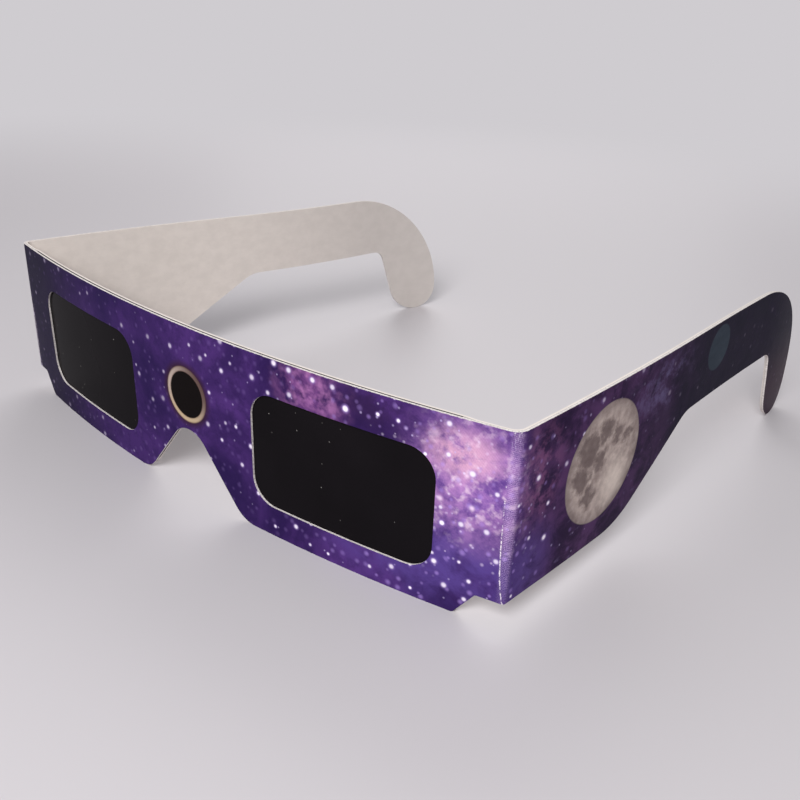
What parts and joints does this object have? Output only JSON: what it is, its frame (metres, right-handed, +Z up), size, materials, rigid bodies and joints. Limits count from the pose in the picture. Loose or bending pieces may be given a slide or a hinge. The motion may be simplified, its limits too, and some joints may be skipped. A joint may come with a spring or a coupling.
{
  "type": "eclipse glasses",
  "caption": "Folding card glasses with dark solar filter film over both eyes, a nose notch and creased temples that end in ear hooks.",
  "frame": {"origin": "middle of the nose notch's mouth, on the printed face of the front, level with the front's bottom edge that the glasses stand on", "axes": "+X to the wearer's left, along the front; +Y towards the wearer's head and ears; +Z up"},
  "size_m": [0.1448, 0.1303, 0.0367],
  "materials": {
    "printed_card": "gloss",
    "backing_card": "satin",
    "filter_film": "gloss",
    "glue": "matte"
  },
  "bodies": {
    "front": {"printed_card_front": "printed_card", "backing_card_front": "backing_card", "filter_film": "filter_film", "glue_left_front": "glue", "glue_right_front": "glue", "printed_card_left_fold": "printed_card", "glue_left_fold": "glue", "backing_card_left_fold": "backing_card", "printed_card_right_fold": "printed_card", "glue_right_fold": "glue", "backing_card_right_fold": "backing_card"},
    "left_temple": {"printed_card_left_temple": "printed_card", "glue_left_temple": "glue", "backing_card_left_temple": "backing_card"},
    "right_temple": {"printed_card_right_temple": "printed_card", "glue_right_temple": "glue", "backing_card_right_temple": "backing_card"}
  },
  "joints": [
    {"name": "left_temple_fold", "type": "hinge", "parent": "front", "child": "left_temple", "pos_m": [0.06881, 0.00899, 0], "axis": [0, 0, 1], "range_deg": [-73.7, 92], "deforming": ["printed_card_left_fold", "glue_left_fold", "backing_card_left_fold"]},
    {"name": "right_temple_fold", "type": "hinge", "parent": "front", "child": "right_temple", "pos_m": [-0.06835, 0.00889, 0], "axis": [0, 0, -1], "range_deg": [-90.9, 66], "deforming": ["printed_card_right_fold", "glue_right_fold", "backing_card_right_fold"]}
  ]
}
